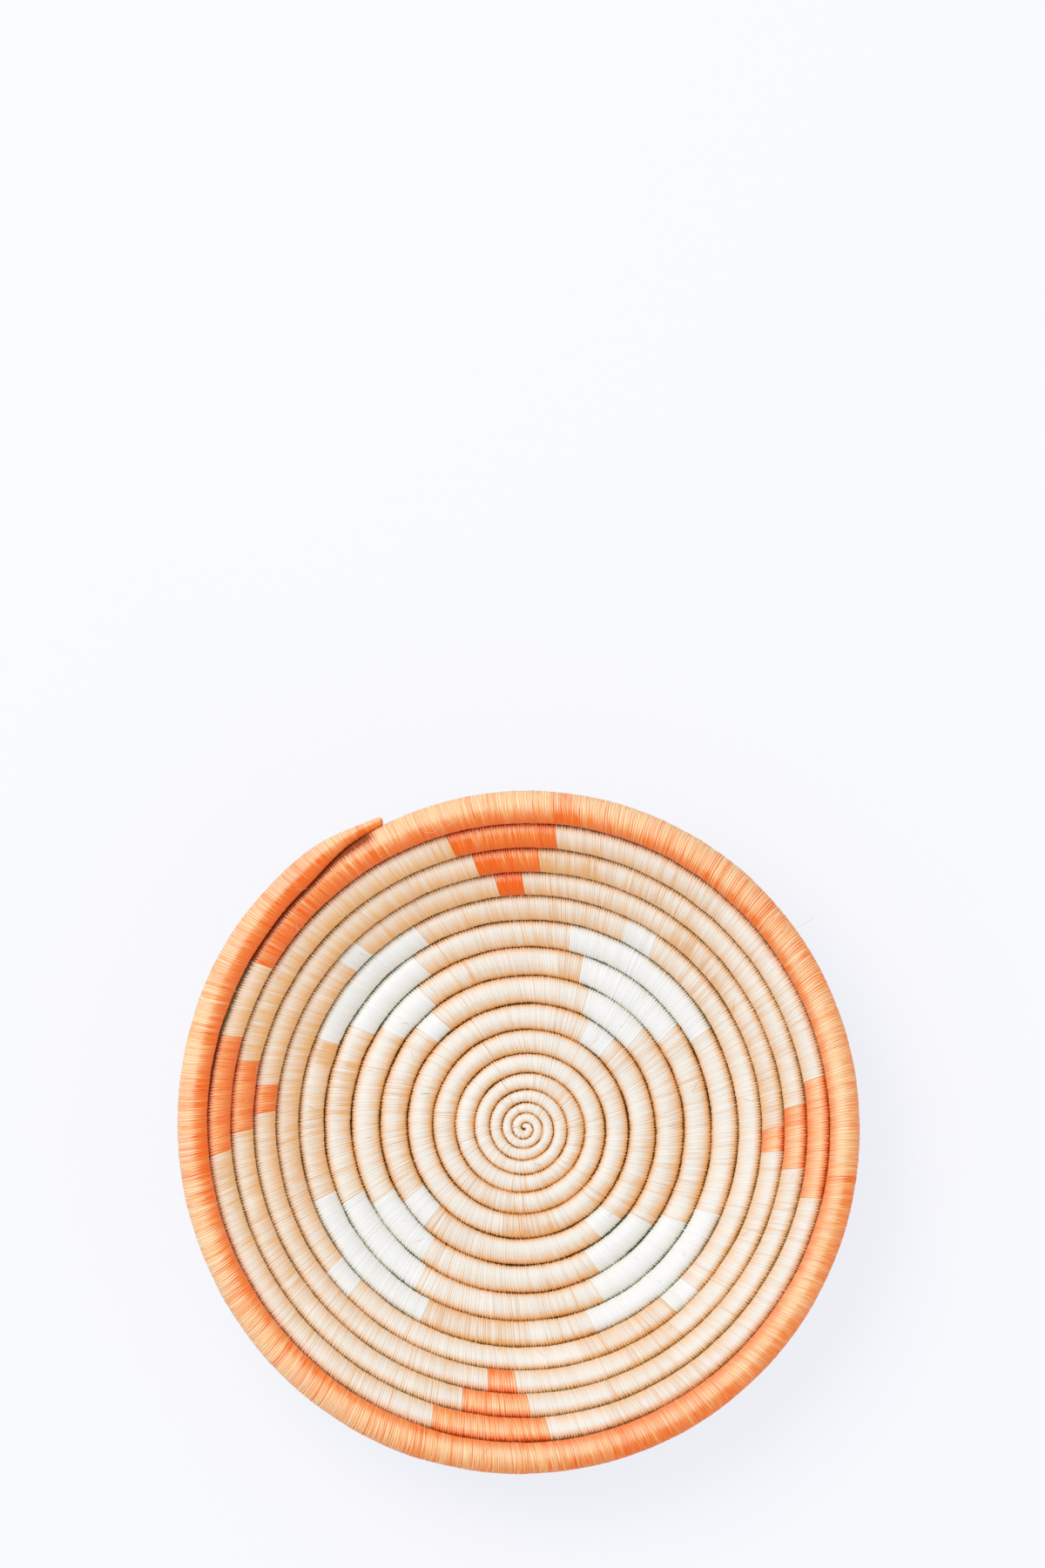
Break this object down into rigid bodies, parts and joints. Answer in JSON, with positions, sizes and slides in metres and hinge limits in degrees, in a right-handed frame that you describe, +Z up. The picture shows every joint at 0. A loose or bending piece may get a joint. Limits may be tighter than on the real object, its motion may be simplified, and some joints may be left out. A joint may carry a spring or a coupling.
{
  "type": "coiled basket bowl",
  "caption": "Shallow round bowl coiled from a sisal-wrapped grass bundle, natural with stepped white and orange blocks and an orange rim that ends in a tapered tail.",
  "frame": {"origin": "centre of the bowl's overall width and depth, on the surface that it stands on", "axes": "+Z up out of the bowl, +Y towards the side where the coil's tail ends, a little to the left of it, +X to the right seen from above"},
  "size_m": [0.2548, 0.2528, 0.0518],
  "materials": {
    "natural_sisal": "undyed cream sisal strands, soft sheen",
    "white_sisal": "bleached white sisal strands, soft sheen",
    "orange_sisal": "orange dyed sisal strands, silky sheen",
    "grass_core": "dry grass stems, hidden by the wraps"
  },
  "bodies": {
    "root": {"centre_knot": "natural_sisal", "grass_core": "grass_core", "natural_wrap_round_02": "natural_sisal", "natural_wrap_round_03": "natural_sisal", "natural_wrap_round_04": "natural_sisal", "natural_wrap_round_05": "natural_sisal", "natural_wrap_round_06": "natural_sisal", "natural_wrap_round_07": "natural_sisal", "natural_wrap_round_08": "natural_sisal", "natural_wrap_round_09": "natural_sisal", "natural_wrap_round_10": "natural_sisal", "natural_wrap_round_11": "natural_sisal", "natural_wrap_round_12": "natural_sisal", "natural_wrap_round_13": "natural_sisal", "natural_wrap_round_14": "natural_sisal", "natural_wrap_round_15": "natural_sisal", "orange_wrap_east_2": "orange_sisal", "orange_wrap_east_3": "orange_sisal", "orange_wrap_east_4": "orange_sisal", "orange_wrap_north_2": "orange_sisal", "orange_wrap_north_3": "orange_sisal", "orange_wrap_north_4": "orange_sisal", "orange_wrap_rim": "orange_sisal", "orange_wrap_south_2": "orange_sisal", "orange_wrap_south_3": "orange_sisal", "orange_wrap_south_4": "orange_sisal", "orange_wrap_west_2": "orange_sisal", "orange_wrap_west_3": "orange_sisal", "orange_wrap_west_4": "orange_sisal", "white_wrap_north_east_5": "white_sisal", "white_wrap_north_east_6": "white_sisal", "white_wrap_north_east_7": "white_sisal", "white_wrap_north_east_8": "white_sisal", "white_wrap_north_east_9": "white_sisal", "white_wrap_north_west_5": "white_sisal", "white_wrap_north_west_6": "white_sisal", "white_wrap_north_west_7": "white_sisal", "white_wrap_north_west_8": "white_sisal", "white_wrap_north_west_9": "white_sisal", "white_wrap_south_east_5": "white_sisal", "white_wrap_south_east_6": "white_sisal", "white_wrap_south_east_7": "white_sisal", "white_wrap_south_east_8": "white_sisal", "white_wrap_south_east_9": "white_sisal", "white_wrap_south_west_5": "white_sisal", "white_wrap_south_west_6": "white_sisal", "white_wrap_south_west_7": "white_sisal", "white_wrap_south_west_8": "white_sisal", "white_wrap_south_west_9": "white_sisal"}
  },
  "joints": []
}
